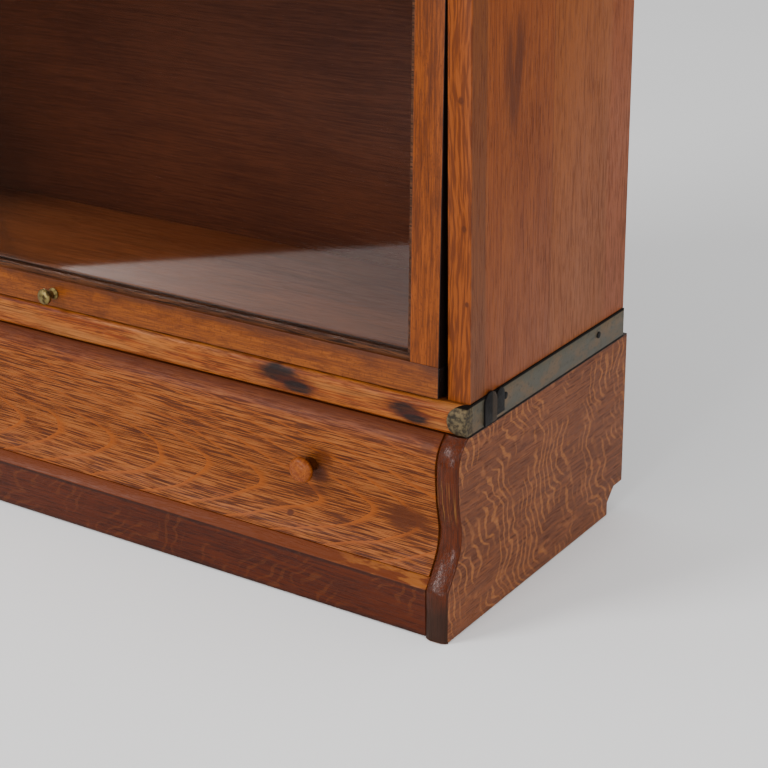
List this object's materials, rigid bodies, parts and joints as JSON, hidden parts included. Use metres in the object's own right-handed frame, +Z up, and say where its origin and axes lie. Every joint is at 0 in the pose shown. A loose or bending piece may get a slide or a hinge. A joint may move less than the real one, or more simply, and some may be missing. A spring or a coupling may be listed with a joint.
{
  "type": "barrister bookcase",
  "caption": "Stacked oak bookcase with glass doors that lift and slide back above the books, steel banded joints, an ogee base with a drawer, and a moulded top.",
  "frame": {"origin": "on the floor, under the middle of the case's bounding box", "axes": "+X to the case's right-hand side seen from the front, +Y from the doors to the back, +Z up"},
  "size_m": [0.8642, 0.308, 1.24],
  "materials": {
    "oak_side": "aged satin varnish, vertical grain",
    "oak_base_side": "aged gloss varnish, quarter-sawn with ray flecks",
    "oak_drawer": "aged satin varnish, plain-sawn grain along the width",
    "oak_plinth": "worn dark varnish",
    "oak_rail": "worn varnish with dark stains",
    "oak_door": "aged satin varnish",
    "oak_bead": "dark varnish",
    "oak_inside": "satin varnish",
    "oak_back": "dark red-brown varnish",
    "oak_knob": "turned, satin varnish",
    "inner_wood": "unfinished",
    "band_steel": "aged, satin patina",
    "clip_iron": "blackened",
    "door_glass": "clear window glass",
    "door_brass": "aged brass"
  },
  "bodies": {
    "root": {"base_side_left": "oak_base_side", "base_side_right": "oak_base_side", "plinth_rail": "oak_plinth", "base_back_panel": "oak_back", "base_top_frame": "inner_wood", "drawer_runners": "inner_wood", "top_board": "oak_side", "top_frieze": "oak_drawer", "top_front_rail": "oak_rail", "top_ends": "oak_side", "top_back_rail": "oak_back", "steel_bands_left": "band_steel", "steel_bands_right": "band_steel", "band_clips": "clip_iron", "band_screws": "clip_iron", "lower_side_left": "oak_side", "lower_side_right": "oak_side", "lower_top_board": "oak_inside", "lower_bottom_board": "oak_inside", "lower_front_rail": "oak_rail", "lower_back_panel": "oak_back", "middle_side_left": "oak_side", "middle_side_right": "oak_side", "middle_top_board": "oak_inside", "middle_bottom_board": "oak_inside", "middle_front_rail": "oak_rail", "middle_back_panel": "oak_back", "upper_side_left": "oak_side", "upper_side_right": "oak_side", "upper_top_board": "oak_inside", "upper_bottom_board": "oak_inside", "upper_front_rail": "oak_rail", "upper_back_panel": "oak_back"},
    "drawer": {"drawer_front": "oak_drawer", "drawer_side_left": "inner_wood", "drawer_side_right": "inner_wood", "drawer_back": "inner_wood", "drawer_bottom": "inner_wood", "drawer_knobs": "oak_knob"},
    "lower_carriage": {"lower_pivot_rollers": "clip_iron"},
    "lower_door": {"lower_door_top_rail": "oak_door", "lower_door_bottom_rail": "oak_door", "lower_door_stiles": "oak_door", "lower_door_glass": "door_glass", "lower_door_beads": "oak_bead", "lower_door_knob": "door_brass"},
    "middle_carriage": {"middle_pivot_rollers": "clip_iron"},
    "middle_door": {"middle_door_top_rail": "oak_door", "middle_door_bottom_rail": "oak_door", "middle_door_stiles": "oak_door", "middle_door_glass": "door_glass", "middle_door_beads": "oak_bead", "middle_door_knob": "door_brass"},
    "upper_carriage": {"upper_pivot_rollers": "clip_iron"},
    "upper_door": {"upper_door_top_rail": "oak_door", "upper_door_bottom_rail": "oak_door", "upper_door_stiles": "oak_door", "upper_door_glass": "door_glass", "upper_door_beads": "oak_bead", "upper_door_knob": "door_brass"}
  },
  "joints": [
    {"name": "drawer_slide", "type": "slide", "parent": "root", "child": "drawer", "axis": [0, -1, 0], "range_m": [0, 0.2]},
    {"name": "lower_door_slide", "type": "slide", "parent": "root", "child": "lower_carriage", "axis": [0, 1, 0], "range_m": [0, 0.225]},
    {"name": "lower_door_lift", "type": "hinge", "parent": "lower_carriage", "child": "lower_door", "pos_m": [0, -0.1005, 0.533], "axis": [-1, 0, 0], "range_deg": [-2.2, 87.8]},
    {"name": "middle_door_slide", "type": "slide", "parent": "root", "child": "middle_carriage", "axis": [0, 1, 0], "range_m": [0, 0.225]},
    {"name": "middle_door_lift", "type": "hinge", "parent": "middle_carriage", "child": "middle_door", "pos_m": [0, -0.1005, 0.869], "axis": [-1, 0, 0], "range_deg": [0, 90]},
    {"name": "upper_door_slide", "type": "slide", "parent": "root", "child": "upper_carriage", "axis": [0, 1, 0], "range_m": [0, 0.186]},
    {"name": "upper_door_lift", "type": "hinge", "parent": "upper_carriage", "child": "upper_door", "pos_m": [0, -0.1005, 1.155], "axis": [-1, 0, 0], "range_deg": [0, 90]}
  ]
}
